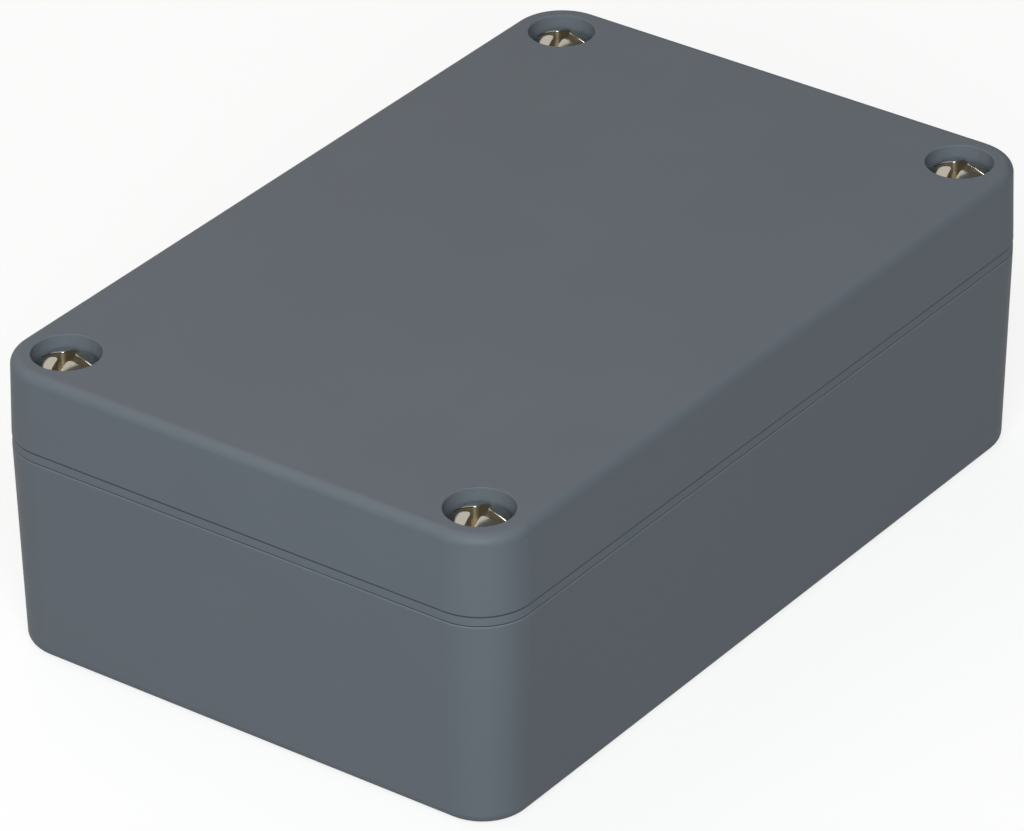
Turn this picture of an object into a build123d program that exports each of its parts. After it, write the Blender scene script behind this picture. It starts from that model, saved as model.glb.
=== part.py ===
# Sealed plastic enclosure, 98 x 64 x 34 mm, with a captive lid screw in each corner.
# Frame: origin at the centre of the underside, +Z up, X along the long side. Sizes in millimetres.
import os

from build123d import *

os.makedirs("parts", exist_ok=True)

# Case, outside: length and width are those of the lid's lower edge and of the base's rim.
case_length = 98.0
case_width = 64.0
base_height = 23.87
lid_height = 10.13
corner_radius = 6.1
base_draft = 1.6
lid_draft = 1.4
base_edge_round = 1.25
lid_edge_round = 1.1
base_rim_round = 0.18
lid_rim_round = 0.1

# Band of the lid, just above the parting line: it leans in to its top, under the lid's lower edge.
band_height = 1.13
band_draft = 5.0

# Walls and hollows.
side_wall = 3.2
base_floor = 3.0
lid_plate = 3.0
end_web = 2.3
cavity_corner = 3.0
cavity_draft = 0.5
cavity_floor_round = 1.0
lid_groove_wall = 1.1

# Seal: a tongue on the base presses a gasket in the lid's groove.
tongue_width = 1.0
tongue_height = 1.2
tongue_round = 0.2
groove_width = 1.5
gasket_height = 1.4

# Lid screws, in counterbored corners of the lid.
screw_inset = 6.0
counterbore_diameter = 7.35
counterbore_depth = 3.1
counterbore_round = 0.1
screw_hole_diameter = 4.3
head_diameter = 6.4
head_rim = 1.6
head_dome = 1.15
head_edge_round = 0.15
neck_diameter = 3.0
thread_diameter = 3.9
thread_length = 6.2
thread_above_insert = 0.2
thread_chamfer = 0.4
thread_pitch = 0.7
release_turns = 9

# Cross in the screw's head: four arms, each narrower towards the rim.
slot_width_inner = 1.05
slot_width_outer = 0.75
slot_depth = 1.5
slot_overrun = 0.5
slot_turn = 10.0
slot_corner_round = 0.6
slot_edge_round = 0.1

# Brass insert for each lid screw, deep in its corner tower.
tower_radius = 4.5
insert_diameter = 6.0
insert_length = 8.0
insert_recess = 6.0
insert_bore = 4.0
insert_well = 1.0
insert_band = 2.4
insert_groove = 0.35
insert_chamfer = 0.3

# Retaining ring on each screw's neck.
ring_section = 1.2
ring_neck_clearance = 0.05
ring_end_clearance = 0.05
ring_pocket_clearance = 0.25

# Fixing channels at the two ends, outside the seal, with holes for the wall screws.
channel_width = 7.4
channel_corner = 3.0
channel_floor = 4.0
fixing_to_screw = 8.0
fixing_hole_diameter = 4.3
fixing_recess_diameter = 6.6
fixing_recess_angle = 90

# Board bosses with their brass inserts.
board_inset_x = 6.0
board_inset_y = 6.8
boss_diameter = 7.0
boss_height = 5.0
boss_root_round = 0.5
board_insert_diameter = 4.2
board_insert_length = 4.5
board_insert_bore = 2.5
board_insert_well = 0.5

# Heights and places that several pieces share.
parting = base_height
case_top = base_height + lid_height
band_top = parting + band_height
screw_x = case_length / 2 - screw_inset
screw_y = case_width / 2 - screw_inset
head_seat = case_top - counterbore_depth
insert_top = parting - insert_recess
thread_top = insert_top + thread_above_insert
screw_rise = release_turns * thread_pitch
ring_bottom = thread_top + ring_end_clearance
ring_pocket_top = ring_bottom + ring_section + screw_rise + ring_end_clearance

cavity_length = 2 * (screw_x - channel_width / 2 - end_web)
cavity_width = case_width - 2 * side_wall
channel_length = 2 * (screw_y - tower_radius)
seal_length = cavity_length + end_web
seal_width = cavity_width + end_web
seal_corner = cavity_corner + end_web / 2
fixing_y = screw_y - fixing_to_screw
board_x = cavity_length / 2 - board_inset_x
board_y = cavity_width / 2 - board_inset_y
boss_top = base_floor + boss_height

corners = {
    "front_left": (-1, -1),
    "front_right": (1, -1),
    "back_left": (-1, 1),
    "back_right": (1, 1),
}


def keep(part, name):
    part.label = name
    export_step(part, f"parts/{name}.step")


def upright_plane(x, y):
    # Plane for a section that is turned about the upright axis through x, y.
    return Plane(origin=(x, y, 0), x_dir=(1, 0, 0), z_dir=(0, -1, 0))


# Base: a drafted tub with a corner tower for each lid screw, an open fixing channel at
# each end, a sealing tongue round the cavity and four board bosses.
with BuildPart() as base:
    with BuildSketch(Plane.XY.offset(parting)):
        RectangleRounded(case_length, case_width, corner_radius)
    extrude(amount=-base_height, taper=base_draft)
    fillet(base.faces().sort_by(Axis.Z)[0].edges(), base_edge_round)
    fillet(base.faces().sort_by(Axis.Z)[-1].edges(), base_rim_round)

    with BuildSketch(Plane.XY.offset(parting)):
        RectangleRounded(cavity_length, cavity_width, cavity_corner)
    extrude(amount=base_floor - parting, taper=cavity_draft, mode=Mode.SUBTRACT)
    fillet(base.edges(Select.LAST).group_by(Axis.Z)[0], cavity_floor_round)
    with BuildSketch(Plane.XY.offset(parting)):
        with Locations((-screw_x, 0), (screw_x, 0)):
            RectangleRounded(channel_width, channel_length, channel_corner)
    extrude(amount=channel_floor - parting, taper=cavity_draft, mode=Mode.SUBTRACT)

    with BuildSketch(Plane.XY.offset(parting)):
        RectangleRounded(
            seal_length + tongue_width, seal_width + tongue_width, seal_corner + tongue_width / 2
        )
        RectangleRounded(
            seal_length - tongue_width,
            seal_width - tongue_width,
            seal_corner - tongue_width / 2,
            mode=Mode.SUBTRACT,
        )
    extrude(amount=tongue_height)
    fillet(base.faces().sort_by(Axis.Z)[-1].edges(), tongue_round)

    with BuildSketch(Plane.XY.offset(base_floor)):
        with GridLocations(2 * board_x, 2 * board_y, 2, 2):
            Circle(boss_diameter / 2)
    extrude(amount=boss_height)
    fillet(base.edges(Select.LAST).group_by(Axis.Z)[0], boss_root_round)
    with Locations(Plane.XY.offset(boss_top)):
        with GridLocations(2 * board_x, 2 * board_y, 2, 2):
            Hole(board_insert_diameter / 2, depth=board_insert_length + board_insert_well)

    with Locations(Plane.XY.offset(parting)):
        with GridLocations(2 * screw_x, 2 * screw_y, 2, 2):
            Hole(insert_diameter / 2, depth=insert_recess + insert_length + insert_well)
    with Locations(Plane.XY.offset(channel_floor)):
        with GridLocations(2 * screw_x, 2 * fixing_y, 2, 2):
            CounterSinkHole(
                fixing_hole_diameter / 2,
                fixing_recess_diameter / 2,
                depth=channel_floor,
                counter_sink_angle=fixing_recess_angle,
            )
keep(base.part, "base")

# Lid: a drafted cover with counterbored corners, hollow inside, with the gasket's groove
# between two walls over the base's tongue.
groove_band = groove_width + 2 * lid_groove_wall
relief_inner = seal_length / 2 + groove_band / 2
relief_outer = screw_x + channel_width / 2
relief_x = (relief_inner + relief_outer) / 2
ring_pocket_diameter = neck_diameter + 2 * (ring_neck_clearance + ring_section + ring_pocket_clearance)

with BuildPart() as lid:
    with BuildSketch(Plane.XY.offset(band_top)):
        RectangleRounded(case_length, case_width, corner_radius)
    extrude(amount=case_top - band_top, taper=lid_draft)
    fillet(lid.faces().sort_by(Axis.Z)[-1].edges(), lid_edge_round)
    with BuildSketch(Plane.XY.offset(parting)):
        RectangleRounded(case_length, case_width, corner_radius)
    extrude(amount=band_height, taper=band_draft)
    fillet(lid.faces().sort_by(Axis.Z)[0].edges(), lid_rim_round)

    with BuildSketch(Plane.XY.offset(parting)):
        RectangleRounded(
            seal_length - groove_band, seal_width - groove_band, seal_corner - groove_band / 2
        )
        with Locations((-relief_x, 0), (relief_x, 0)):
            RectangleRounded(relief_outer - relief_inner, channel_length, channel_corner)
    extrude(amount=lid_height - lid_plate, taper=cavity_draft, mode=Mode.SUBTRACT)

    with BuildSketch(Plane.XY.offset(parting)):
        RectangleRounded(
            seal_length + groove_width, seal_width + groove_width, seal_corner + groove_width / 2
        )
        RectangleRounded(
            seal_length - groove_width,
            seal_width - groove_width,
            seal_corner - groove_width / 2,
            mode=Mode.SUBTRACT,
        )
    extrude(amount=tongue_height + gasket_height, mode=Mode.SUBTRACT)

    with BuildSketch(Plane.XY.offset(parting)):
        with GridLocations(2 * screw_x, 2 * screw_y, 2, 2):
            Circle(ring_pocket_diameter / 2)
    extrude(amount=ring_pocket_top - parting, mode=Mode.SUBTRACT)
    with Locations(Plane.XY.offset(case_top)):
        with GridLocations(2 * screw_x, 2 * screw_y, 2, 2):
            CounterBoreHole(
                screw_hole_diameter / 2, counterbore_diameter / 2, counterbore_depth, depth=lid_height
            )
    fillet(lid.edges(Select.LAST).group_by(Axis.Z)[-1], counterbore_round)
keep(lid.part, "lid")

# Gasket: an endless rubber cord at the bottom of the lid's groove, pressed by the tongue.
with BuildPart() as gasket:
    with BuildSketch(Plane.XY.offset(parting + tongue_height)):
        RectangleRounded(
            seal_length + groove_width, seal_width + groove_width, seal_corner + groove_width / 2
        )
        RectangleRounded(
            seal_length - groove_width,
            seal_width - groove_width,
            seal_corner - groove_width / 2,
            mode=Mode.SUBTRACT,
        )
    extrude(amount=gasket_height)
keep(gasket.part, "gasket")


def lid_screw(x, y):
    # Domed head with a cross, a thin neck, and the threaded end, whose thread is left plain.
    head_edge = head_seat + head_rim
    head_top = head_edge + head_dome
    dome_radius = ((head_diameter / 2) ** 2 + head_dome**2) / (2 * head_dome)
    tip = thread_top - thread_length
    with BuildPart() as screw:
        with BuildSketch(upright_plane(x, y)) as profile:
            with BuildLine():
                RadiusArc((0, head_top), (head_diameter / 2, head_edge), dome_radius)
                Polyline(
                    (head_diameter / 2, head_edge),
                    (head_diameter / 2, head_seat),
                    (neck_diameter / 2, head_seat),
                    (neck_diameter / 2, thread_top),
                    (thread_diameter / 2, thread_top),
                    (thread_diameter / 2, tip + thread_chamfer),
                    (thread_diameter / 2 - thread_chamfer, tip),
                    (0, tip),
                    (0, head_top),
                )
            make_face()
            rim_corner = profile.vertices().sort_by_distance((head_diameter / 2, head_edge, 0))[0]
            fillet(rim_corner, head_edge_round)
        revolve(axis=Axis((x, y, 0), (0, 0, 1)))
        with BuildSketch(Plane(origin=(x, y, head_top), z_dir=(0, 0, 1))) as cross:
            with PolarLocations(0, 4, start_angle=slot_turn):
                Polygon(
                    (0, slot_width_inner / 2),
                    (0, -slot_width_inner / 2),
                    (head_diameter / 2 + slot_overrun, -slot_width_outer / 2),
                    (head_diameter / 2 + slot_overrun, slot_width_outer / 2),
                    align=None,
                )
            fillet(cross.vertices().sort_by_distance((0, 0, 0))[:4], slot_corner_round)
        extrude(amount=-slot_depth, mode=Mode.SUBTRACT)
        fillet(screw.edges(Select.LAST).filter_by_position(Axis.Z, head_edge, head_top), slot_edge_round)
    return screw.part


def retaining_ring(x, y):
    # Rubber ring on the screw's neck: it stops the undone screw from leaving the lid.
    centre_radius = neck_diameter / 2 + ring_neck_clearance + ring_section / 2
    with BuildPart() as ring:
        with BuildSketch(upright_plane(x, y)):
            with Locations((centre_radius, ring_bottom + ring_section / 2)):
                Circle(ring_section / 2)
        revolve(axis=Axis((x, y, 0), (0, 0, 1)))
    return ring.part


def lid_insert(x, y):
    # Brass bush with a groove between its two bands, pressed into a corner tower.
    outer = insert_diameter / 2
    inner = insert_bore / 2
    foot = insert_top - insert_length
    with BuildPart() as insert:
        with BuildSketch(upright_plane(x, y)):
            with BuildLine():
                Polyline(
                    (inner, insert_top),
                    (outer - insert_chamfer, insert_top),
                    (outer, insert_top - insert_chamfer),
                    (outer, insert_top - insert_band),
                    (outer - insert_groove, insert_top - insert_band),
                    (outer - insert_groove, foot + insert_band),
                    (outer, foot + insert_band),
                    (outer, foot + insert_chamfer),
                    (outer - insert_chamfer, foot),
                    (inner, foot),
                    close=True,
                )
            make_face()
        revolve(axis=Axis((x, y, 0), (0, 0, 1)))
    return insert.part


def board_insert(x, y):
    # Small brass bush in a board boss, flush with its top.
    with BuildPart() as insert:
        with BuildSketch(Plane(origin=(x, y, boss_top), z_dir=(0, 0, 1))):
            Circle(board_insert_diameter / 2)
            Circle(board_insert_bore / 2, mode=Mode.SUBTRACT)
        extrude(amount=-board_insert_length)
    return insert.part


for corner, (side_x, side_y) in corners.items():
    keep(lid_screw(side_x * screw_x, side_y * screw_y), f"lid_screw_{corner}")
    keep(retaining_ring(side_x * screw_x, side_y * screw_y), f"retaining_ring_{corner}")
    keep(lid_insert(side_x * screw_x, side_y * screw_y), f"lid_insert_{corner}")
    keep(board_insert(side_x * board_x, side_y * board_y), f"board_insert_{corner}")
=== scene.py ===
import math

import bmesh
import bpy
from mathutils import Matrix, Vector


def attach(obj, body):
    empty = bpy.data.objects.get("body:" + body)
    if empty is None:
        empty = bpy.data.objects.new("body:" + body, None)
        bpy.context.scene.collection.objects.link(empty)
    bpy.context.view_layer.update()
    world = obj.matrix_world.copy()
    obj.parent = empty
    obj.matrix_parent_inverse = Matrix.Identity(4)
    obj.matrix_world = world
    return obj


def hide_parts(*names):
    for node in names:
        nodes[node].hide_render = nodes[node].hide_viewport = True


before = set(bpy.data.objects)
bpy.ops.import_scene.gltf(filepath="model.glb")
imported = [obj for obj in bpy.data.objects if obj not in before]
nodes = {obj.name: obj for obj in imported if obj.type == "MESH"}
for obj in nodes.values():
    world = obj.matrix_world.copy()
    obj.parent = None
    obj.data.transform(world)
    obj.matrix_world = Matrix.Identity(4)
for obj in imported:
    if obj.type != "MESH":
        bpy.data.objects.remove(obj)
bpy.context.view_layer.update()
MM = 0.001

# Base and lid: the two halves of the case, injection moulded in ABS coloured dark blue-grey.
# The mould was spark eroded to a fine even grain, so the skin is matt, and its gloss and
# colour drift a little with the flow of the plastic.
CASE_GREY = "#61666e"
CASE_GREY_LIGHT = "#656a72"
CASE_ROUGHNESS = (0.47, 0.54)
CASE_SPECULAR = 0.13
ABS_IOR = 1.53
FLOW_MM = 14.0
GRAIN_MM = 0.16
GRAIN_DEPTH_MM = 0.006
GRAIN_STRENGTH = 0.25
# Painted shade under the lid's lower edge and in the parting line, and a painted highlight on
# the base's rim. Each pair is a height in mm and the share of the colour left there.
JOINT_FROM_MM, JOINT_TO_MM = 23.4, 25.4
JOINT_PAINTED_SHADE_AND_HIGHLIGHT = (
    (23.56, 1.0),
    (23.66, 1.14),
    (23.8, 1.14),
    (23.84, 0.24),
    (23.92, 0.24),
    (23.98, 0.96),
    (24.8, 1.0),
    (24.86, 0.38),
    (25.02, 0.38),
    (25.08, 1.0),
)
# Only the outer skin gets this painted shade and highlight: what lies further out than this from
# the upright prism through the corners' centres. The prism is taller than the case, so height
# doesn't count.
CORNER_CENTRE_MM = (42.9, 25.9)
ABOVE_ALL_MM = 100.0
OUTER_SKIN_MM = 5.6
WHITE = (1.0, 1.0, 1.0, 1.0)


def linear(hex_colour):
    channels = [int(hex_colour[i : i + 2], 16) / 255 for i in (1, 3, 5)]
    return [c / 12.92 if c <= 0.04045 else ((c + 0.055) / 1.055) ** 2.4 for c in channels] + [1.0]


def add(tree, kind, links=None, **settings):
    # One node with its settings; links maps its inputs to values or to other nodes' outputs.
    node = tree.nodes.new(kind)
    for name, value in settings.items():
        setattr(node, name, value)
    for name, value in (links or {}).items():
        if isinstance(value, bpy.types.NodeSocket):
            tree.links.new(value, node.inputs[name])
        else:
            node.inputs[name].default_value = value
    return node


def calculate(tree, operation, first, second):
    return add(tree, "ShaderNodeMath", {0: first, 1: second}, operation=operation).outputs["Value"]


def vector(tree, operation, first, second=(0, 0, 0), result="Vector"):
    node = add(tree, "ShaderNodeVectorMath", {0: first, 1: second}, operation=operation)
    return node.outputs[result]


def blend(tree, share, first, second, mode="MIX"):
    # The inputs for colours share their names with the others, so they go by number.
    links = {"Factor": share, 6: first, 7: second}
    return add(tree, "ShaderNodeMix", links, data_type="RGBA", blend_type=mode).outputs[2]


def noise(tree, place, size_mm, detail):
    links = {"Vector": place, "Scale": 1 / (size_mm * MM), "Detail": detail}
    return add(tree, "ShaderNodeTexNoise", links).outputs["Fac"]


def between(tree, share, limits):
    # The value that lies this share of the way from the first limit to the second.
    links = {"Value": share, "To Min": limits[0], "To Max": limits[1]}
    return add(tree, "ShaderNodeMapRange", links).outputs["Result"]


def bump(tree, pattern, strength, depth_mm):
    links = {"Height": pattern, "Strength": strength, "Distance": depth_mm * MM}
    return add(tree, "ShaderNodeBump", links).outputs["Normal"]


def surface(tree, links):
    shader = add(tree, "ShaderNodeBsdfPrincipled", links)
    add(tree, "ShaderNodeOutputMaterial", {"Surface": shader.outputs["BSDF"]})


def new_material(name):
    material = bpy.data.materials.new(name)
    material.use_nodes = True
    material.node_tree.nodes.clear()
    return material, material.node_tree


def family(prefix):
    return [name for name in nodes if name.startswith(prefix)]


def dress(node_names, material):
    for name in node_names:
        mesh = nodes[name].data
        mesh.materials.clear()
        mesh.materials.append(material)


def outer_skin(tree, place):
    centre = [c * MM for c in (*CORNER_CENTRE_MM, ABOVE_ALL_MM)]
    folded = vector(tree, "ABSOLUTE", place)
    beyond = vector(tree, "SUBTRACT", folded, centre)
    outward = vector(tree, "MAXIMUM", beyond)
    reach = vector(tree, "LENGTH", outward, result="Value")
    return calculate(tree, "GREATER_THAN", reach, OUTER_SKIN_MM * MM)


# The painted shade and highlight along the joint, by height.
def painted_joint_shade_and_highlight(tree, place):
    height = add(tree, "ShaderNodeSeparateXYZ", {"Vector": place}).outputs["Z"]
    span = {"Value": height, "From Min": JOINT_FROM_MM * MM, "From Max": JOINT_TO_MM * MM}
    level = add(tree, "ShaderNodeMapRange", span)
    joint = add(tree, "ShaderNodeValToRGB", {"Fac": level.outputs["Result"]})
    stops = joint.color_ramp.elements
    stops[0].color = WHITE
    for height_mm, shade in JOINT_PAINTED_SHADE_AND_HIGHLIGHT:
        stop = stops.new((height_mm - JOINT_FROM_MM) / (JOINT_TO_MM - JOINT_FROM_MM))
        stop.color = (shade, shade, shade, 1.0)
    return joint.outputs["Color"]


def moulded_abs(name):
    material, tree = new_material(name)
    place = add(tree, "ShaderNodeTexCoord").outputs["Object"]
    flow = noise(tree, place, FLOW_MM, detail=1.0)
    grain = noise(tree, place, GRAIN_MM, detail=2.0)
    plain = blend(tree, flow, linear(CASE_GREY), linear(CASE_GREY_LIGHT))
    shaded = blend(tree, outer_skin(tree, place), plain, painted_joint_shade_and_highlight(tree, place), "MULTIPLY")
    surface(
        tree,
        {
            "Base Color": shaded,
            "Roughness": between(tree, flow, CASE_ROUGHNESS),
            "IOR": ABS_IOR,
            "Specular IOR Level": CASE_SPECULAR,
            "Normal": bump(tree, grain, GRAIN_STRENGTH, GRAIN_DEPTH_MM),
        },
    )
    return material


dress(("base", "lid"), moulded_abs("moulded_abs"))

# Gasket and retaining rings: moulded silicone and nitrile rubber, black and matt, with a faint
# bloom. The gasket lies in the lid's groove, and each ring sits on the neck of its screw.
RUBBERS = {
    "gasket": ("#2b2c2e", (0.56, 0.7)),
    "retaining_ring": ("#1d1d1e", (0.44, 0.58)),
}
RUBBER_SHEEN = 0.2
BLOOM_MM = 0.5
BLOOM_DEPTH_MM = 0.01
BLOOM_STRENGTH = 0.3


def moulded_rubber(name, colour, roughness):
    material, tree = new_material(name)
    place = add(tree, "ShaderNodeTexCoord").outputs["Object"]
    bloom = noise(tree, place, BLOOM_MM, detail=3.0)
    surface(
        tree,
        {
            "Base Color": linear(colour),
            "Roughness": between(tree, bloom, roughness),
            "Sheen Weight": RUBBER_SHEEN,
            "Normal": bump(tree, bloom, BLOOM_STRENGTH, BLOOM_DEPTH_MM),
        },
    )
    return material


for prefix, (colour, roughness) in RUBBERS.items():
    dress(family(prefix), moulded_rubber(f"{prefix}_rubber", colour, roughness))

# Inserts: turned brass bushes, pressed into the corner towers and the board's bosses. The
# metal is bright with a fine tarnish, and the thread shows in the bore.
BRASS = "#c09a52"
BRASS_ROUGHNESS = (0.22, 0.38)
TARNISH_MM = 0.12
LID_THREAD_MM, BOARD_THREAD_MM = 0.7, 0.5
INNER_THREAD_DEPTH_MM = 0.12
# A wave texture of scale s repeats every pi / (10 s).
WAVE_PERIOD = math.pi / 10


def turned_brass(name, thread_mm):
    material, tree = new_material(name)
    place = add(tree, "ShaderNodeTexCoord").outputs["Object"]
    links = {"Vector": place, "Scale": WAVE_PERIOD / (thread_mm * MM)}
    thread = add(tree, "ShaderNodeTexWave", links, bands_direction="Z").outputs["Fac"]
    tarnish = noise(tree, place, TARNISH_MM, detail=2.0)
    surface(
        tree,
        {
            "Base Color": linear(BRASS),
            "Metallic": 1.0,
            "Roughness": between(tree, tarnish, BRASS_ROUGHNESS),
            "Normal": bump(tree, thread, strength=1.0, depth_mm=INNER_THREAD_DEPTH_MM),
        },
    )
    return material


for prefix, thread_mm in (("lid_insert", LID_THREAD_MM), ("board_insert", BOARD_THREAD_MM)):
    dress(family(prefix), turned_brass(f"{prefix}_brass", thread_mm))

# Lid screws: cold-headed steel with a rolled M4 thread, nickel plated. The domed head is
# bright, and inside the cross a darker brown is painted in for the warm light its walls bounce.
NICKEL = "#bec1b9"
# Painted shade and reflection: the darker brown colour inside the cross.
CROSS_PAINTED_BROWN = "#afa38c"
NICKEL_ROUGHNESS = (0.13, 0.23)
CROSS_ROUGHNESS = 0.5
PLATING_MM = 0.6
SCREW_X_MM, SCREW_Y_MM = 43.0, 26.0
DOME_RADIUS_MM = 5.03
DOME_TOP_MM = 33.65
CROSS_ABOVE_MM = 31.2
CROSS_EDGE_MM = 0.09
CORNERS = {
    "front_left": (-1, -1),
    "front_right": (1, -1),
    "back_left": (-1, 1),
    "back_right": (1, 1),
}


def inside_cross(tree, place):
    # Where a head's metal lies deeper than the dome's sphere. That is in the cross, and on the
    # side of the rim, which shows only when the screw is undone.
    centre = (SCREW_X_MM * MM, SCREW_Y_MM * MM, (DOME_TOP_MM - DOME_RADIUS_MM) * MM)
    folded = vector(tree, "ABSOLUTE", place)
    from_centre = vector(tree, "DISTANCE", folded, centre, result="Value")
    depth = add(
        tree,
        "ShaderNodeMapRange",
        {
            "Value": from_centre,
            "From Min": (DOME_RADIUS_MM - 2 * CROSS_EDGE_MM) * MM,
            "From Max": (DOME_RADIUS_MM - CROSS_EDGE_MM) * MM,
            "To Min": 1.0,
            "To Max": 0.0,
        },
    )
    height = add(tree, "ShaderNodeSeparateXYZ", {"Vector": place}).outputs["Z"]
    above = calculate(tree, "GREATER_THAN", height, CROSS_ABOVE_MM * MM)
    return calculate(tree, "MULTIPLY", depth.outputs["Result"], above)


def plated_nickel(name):
    material, tree = new_material(name)
    place = add(tree, "ShaderNodeTexCoord").outputs["Object"]
    in_cross = inside_cross(tree, place)
    plating = noise(tree, place, PLATING_MM, detail=3.0)
    bright = between(tree, plating, NICKEL_ROUGHNESS)
    surface(
        tree,
        {
            "Base Color": blend(tree, in_cross, linear(NICKEL), linear(CROSS_PAINTED_BROWN)),
            "Metallic": 1.0,
            "Roughness": between(tree, in_cross, (bright, CROSS_ROUGHNESS)),
        },
    )
    return material


nickel = plated_nickel("plated_nickel")

# The head and the neck keep the part's shape, and a real thread takes the place of its plain
# end: a core with one helical ridge, which is thin at its crest and fades out at both ends.
THREAD_TOP_MM, THREAD_TIP_MM = 18.07, 11.87
CORE_MM, CREST_MM = 3.16, 3.9
FLANK_MM = 0.6
CREST_SHARE = 0.125
RUN_OUT_TURNS = 0.8
RUN_OUT_SCALE = 0.05
ROUND_STEPS = 40
CUT_ABOVE_THREAD_MM = 0.1
WELD_MM = 0.0005
SHARP_EDGE = math.radians(28)
THREAD_INPUTS = {
    "Place": "Vector",
    "Length": "Float",
    "Pitch": "Float",
    "Core radius": "Float",
    "Crest radius": "Float",
    "Flank width": "Float",
    "Material": "Material",
}


def moved(tree, geometry, **move):
    return add(tree, "GeometryNodeTransform", {"Geometry": geometry, **move}).outputs["Geometry"]


def rolled_thread_tree():
    tree = bpy.data.node_groups.new("rolled_thread", "GeometryNodeTree")
    given = {}
    for label, kind in THREAD_INPUTS.items():
        socket = tree.interface.new_socket(label, in_out="INPUT", socket_type=f"NodeSocket{kind}")
        given[label] = socket.identifier
    tree.interface.new_socket("Geometry", in_out="OUTPUT", socket_type="NodeSocketGeometry")
    value = add(tree, "NodeGroupInput").outputs
    turns = calculate(tree, "DIVIDE", value["Length"], value["Pitch"])
    helix = add(
        tree,
        "GeometryNodeCurveSpiral",
        {
            "Resolution": ROUND_STEPS,
            "Rotations": turns,
            "Start Radius": value["Core radius"],
            "End Radius": value["Core radius"],
            "Height": value["Length"],
        },
    )
    upright = add(tree, "GeometryNodeSetCurveNormal", {"Curve": helix.outputs["Curve"]}, mode="Z_UP")
    along = add(tree, "GeometryNodeSplineParameter").outputs["Factor"]
    turns_done = calculate(tree, "MULTIPLY", along, turns)
    turns_left = calculate(tree, "SUBTRACT", turns, turns_done)
    nearest_end = calculate(tree, "MINIMUM", turns_done, turns_left)
    fade = add(
        tree,
        "ShaderNodeMapRange",
        {"Value": nearest_end, "From Max": RUN_OUT_TURNS, "To Min": RUN_OUT_SCALE},
    )
    rise = calculate(tree, "SUBTRACT", value["Crest radius"], value["Core radius"])
    section = add(
        tree,
        "GeometryNodeCurvePrimitiveQuadrilateral",
        {
            "Height": rise,
            "Bottom Width": value["Flank width"],
            "Top Width": calculate(tree, "MULTIPLY", value["Pitch"], CREST_SHARE),
            "Offset": 0.0,
        },
        mode="TRAPEZOID",
    )
    lift = add(tree, "ShaderNodeCombineXYZ", {"Y": calculate(tree, "MULTIPLY", rise, 0.5)})
    seated = moved(tree, section.outputs["Curve"], Translation=lift.outputs["Vector"])
    ridge = add(
        tree,
        "GeometryNodeCurveToMesh",
        {
            "Curve": upright.outputs["Curve"],
            "Profile Curve": moved(tree, seated, Rotation=(0, 0, math.pi / 2)),
            "Scale": fade.outputs["Result"],
            "Fill Caps": True,
        },
    )
    core = add(
        tree,
        "GeometryNodeMeshCylinder",
        {"Vertices": ROUND_STEPS, "Radius": value["Core radius"], "Depth": value["Length"]},
    )
    half_length = calculate(tree, "MULTIPLY", value["Length"], 0.5)
    middle = add(tree, "ShaderNodeCombineXYZ", {"Z": half_length})
    raised = moved(tree, core.outputs["Mesh"], Translation=middle.outputs["Vector"])
    joined = add(tree, "GeometryNodeJoinGeometry")
    for piece in (ridge.outputs["Mesh"], raised):
        tree.links.new(piece, joined.inputs["Geometry"])
    placed = moved(tree, joined.outputs["Geometry"], Translation=value["Place"])
    links = {"Geometry": placed, "Material": value["Material"]}
    plated = add(tree, "GeometryNodeSetMaterial", links)
    add(tree, "NodeGroupOutput", {"Geometry": plated.outputs["Geometry"]})
    return tree, given


def threaded_end(tree, given, place_mm):
    holder = bpy.data.objects.new("threaded_end", bpy.data.meshes.new("threaded_end"))
    bpy.context.scene.collection.objects.link(holder)
    maker = holder.modifiers.new("rolled_thread", "NODES")
    maker.node_group = tree
    for label, value in {
        "Place": [c * MM for c in place_mm],
        "Length": (THREAD_TOP_MM - THREAD_TIP_MM) * MM,
        "Pitch": LID_THREAD_MM * MM,
        "Core radius": CORE_MM / 2 * MM,
        "Crest radius": CREST_MM / 2 * MM,
        "Flank width": FLANK_MM * MM,
        "Material": nickel,
    }.items():
        maker[given[label]] = value
    graph = bpy.context.evaluated_depsgraph_get()
    mesh = bpy.data.meshes.new_from_object(holder.evaluated_get(graph))
    bpy.data.objects.remove(holder)
    return mesh


def screw_mesh(corner, threaded):
    shape = bmesh.new()
    shape.from_mesh(nodes[f"lid_screw_{corner}"].data)
    bmesh.ops.remove_doubles(shape, verts=shape.verts, dist=WELD_MM * MM)
    cut = bmesh.ops.bisect_plane(
        shape,
        geom=shape.verts[:] + shape.edges[:] + shape.faces[:],
        plane_co=(0, 0, (THREAD_TOP_MM + CUT_ABOVE_THREAD_MM) * MM),
        plane_no=(0, 0, 1),
        clear_inner=True,
    )
    rim = [e for e in cut["geom_cut"] if isinstance(e, bmesh.types.BMEdge)]
    bmesh.ops.contextual_create(shape, geom=rim)
    shape.from_mesh(threaded)
    for face in shape.faces:
        face.smooth = True
        face.material_index = 0
    for edge in shape.edges:
        edge.smooth = len(edge.link_faces) == 2 and edge.calc_face_angle(0) < SHARP_EDGE
    mesh = bpy.data.meshes.new(f"screw_{corner}")
    shape.to_mesh(mesh)
    shape.free()
    mesh.materials.append(nickel)
    return mesh


thread_tree, thread_inputs = rolled_thread_tree()
for corner, (side_x, side_y) in CORNERS.items():
    place_mm = (side_x * SCREW_X_MM, side_y * SCREW_Y_MM, THREAD_TIP_MM)
    mesh = screw_mesh(corner, threaded_end(thread_tree, thread_inputs, place_mm))
    screw = bpy.data.objects.new(f"screw_{corner}", mesh)
    bpy.context.scene.collection.objects.link(screw)
    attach(screw, f"screw_{corner}")
    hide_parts(f"lid_screw_{corner}")

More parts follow.
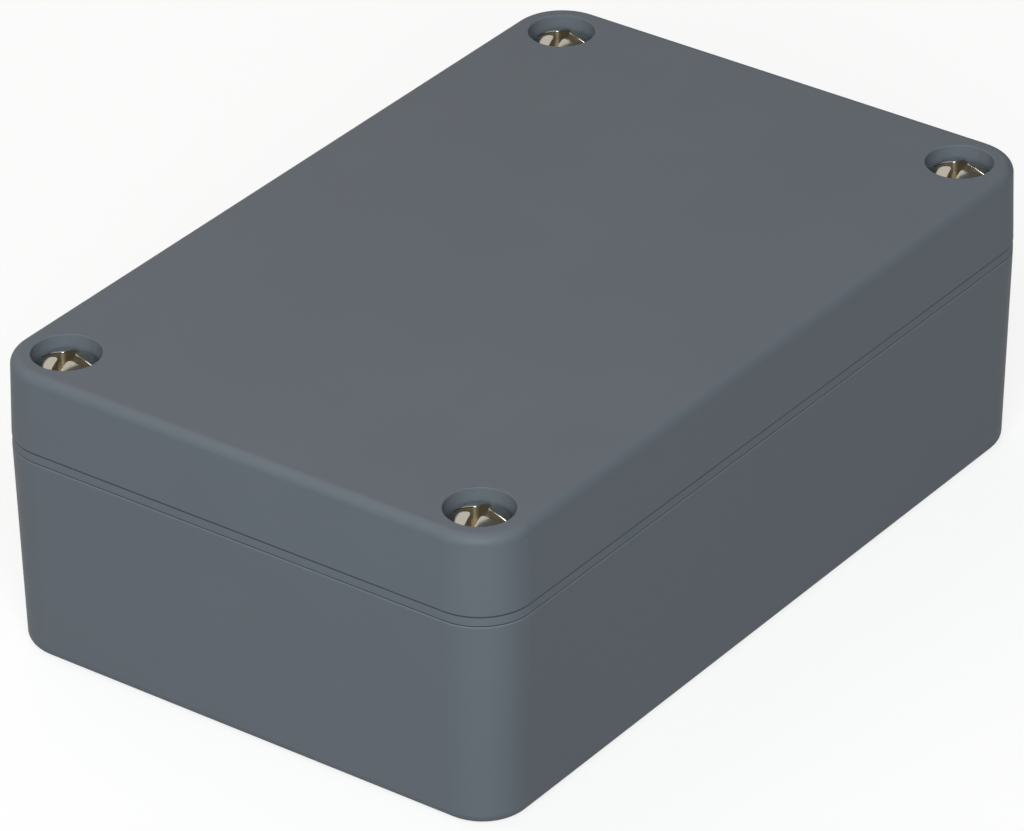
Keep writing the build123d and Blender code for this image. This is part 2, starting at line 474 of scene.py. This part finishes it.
# Floor: one sheet of paper, far wider than the view. The camera and the bright metal see it
# white, with the object's shadow left on it at part strength, and it throws little light back.
# It lies a hair under the object, and from below one looks through it at the underside.
FLOOR_HALF_M = 3.0
FLOOR_GAP_MM = 0.2
FLOOR_SEEN = "#ffffff"
FLOOR_BOUNCE = "#5e5e5e"
SHADOW_SHARE = 0.22

floor_mesh = bpy.data.meshes.new("floor")
floor_sides = ((-1, -1), (1, -1), (1, 1), (-1, 1))
floor_corners = [(x * FLOOR_HALF_M, y * FLOOR_HALF_M, -FLOOR_GAP_MM * MM) for x, y in floor_sides]
floor_mesh.from_pydata(floor_corners, [], [(0, 1, 2, 3)])
floor = bpy.data.objects.new("floor", floor_mesh)
bpy.context.scene.collection.objects.link(floor)
paper, tree = new_material("white_paper")
ray = add(tree, "ShaderNodeLightPath").outputs
seen = calculate(tree, "MAXIMUM", ray["Is Camera Ray"], ray["Is Glossy Ray"])
shown_white = calculate(tree, "MULTIPLY", seen, 1 - SHADOW_SHARE)
tone = blend(tree, seen, linear(FLOOR_BOUNCE), linear(FLOOR_SEEN))
lit = add(tree, "ShaderNodeBsdfDiffuse", {"Color": tone}).outputs["BSDF"]
white = add(tree, "ShaderNodeEmission", {"Color": linear(FLOOR_SEEN)}).outputs["Emission"]
above = add(tree, "ShaderNodeMixShader", {0: shown_white, 1: lit, 2: white}).outputs["Shader"]
clear = add(tree, "ShaderNodeBsdfTransparent").outputs["BSDF"]
from_below = add(tree, "ShaderNodeNewGeometry").outputs["Backfacing"]
sheet = add(tree, "ShaderNodeMixShader", {0: from_below, 1: above, 2: clear})
add(tree, "ShaderNodeOutputMaterial", {"Surface": sheet.outputs["Shader"]})
floor_mesh.materials.append(paper)

# Light: a dim even studio, a cool soft box behind the camera and a little above it, and a larger
# warm one high behind the object, which lights its upper edges and is mirrored in the metal.
WORLD_STRENGTH = 0.12
LAMP_DISTANCE_M = 1.3
# Each lamp's direction from the object, its side in metres, its watts and its colour.
LAMPS = {
    "key_light": ((-0.677, -0.452, 0.58), 0.8, 19.7, (0.915, 1.0, 0.985)),
    "back_light": ((0.11, 0.728, 0.68), 2.0, 9.9, (1.0, 0.865, 0.8)),
}

world = bpy.data.worlds.new("studio")
bpy.context.scene.world = world
world.use_nodes = True
background = world.node_tree.nodes["Background"].inputs
background["Color"].default_value = WHITE
background["Strength"].default_value = WORLD_STRENGTH

for name, (toward, side, watts, colour) in LAMPS.items():
    lamp = bpy.data.lights.new(name, "AREA")
    lamp.shape = "SQUARE"
    lamp.size = side
    lamp.energy = watts
    lamp.color = colour
    holder = bpy.data.objects.new(name, lamp)
    direction = Vector(toward).normalized()
    turn = direction.to_track_quat("Z", "Y").to_matrix().to_4x4()
    holder.matrix_world = Matrix.Translation(direction * LAMP_DISTANCE_M) @ turn
    bpy.context.scene.collection.objects.link(holder)

# Camera: a long lens on the photograph's line of sight, found by fitting it to the outline.
# It stands back from the target along that line, and is moved and rolled a little across it.
IMAGE_WIDTH = 1024
SENSOR_MM = 36.0
FOCAL_PIXELS = 7054.69
AZIMUTH, ELEVATION, ROLL = math.radians(-53.631), math.radians(30.692), math.radians(-0.568)
DISTANCE_MM, RIGHT_MM, UP_MM = 740.6, -1.292, -2.045
TARGET_MM = Vector((0, 0, 17.0))

flat_right = Vector((math.cos(AZIMUTH), math.sin(AZIMUTH), 0))
flat_back = Vector((math.sin(AZIMUTH), -math.cos(AZIMUTH), 0))
back = flat_back * math.cos(ELEVATION) + Vector((0, 0, math.sin(ELEVATION)))
upright = back.cross(flat_right)
right = flat_right * math.cos(ROLL) + upright * math.sin(ROLL)
up = upright * math.cos(ROLL) - flat_right * math.sin(ROLL)
lens = bpy.data.cameras.new("camera")
lens.sensor_width = SENSOR_MM
lens.lens = FOCAL_PIXELS * SENSOR_MM / IMAGE_WIDTH
camera = bpy.data.objects.new("camera", lens)
place = (TARGET_MM + back * DISTANCE_MM + right * RIGHT_MM + up * UP_MM) * MM
camera.matrix_world = Matrix.Translation(place) @ Matrix((right, up, back)).transposed().to_4x4()
bpy.context.scene.collection.objects.link(camera)
bpy.context.scene.camera = camera
bpy.context.scene.view_settings.view_transform = "Standard"
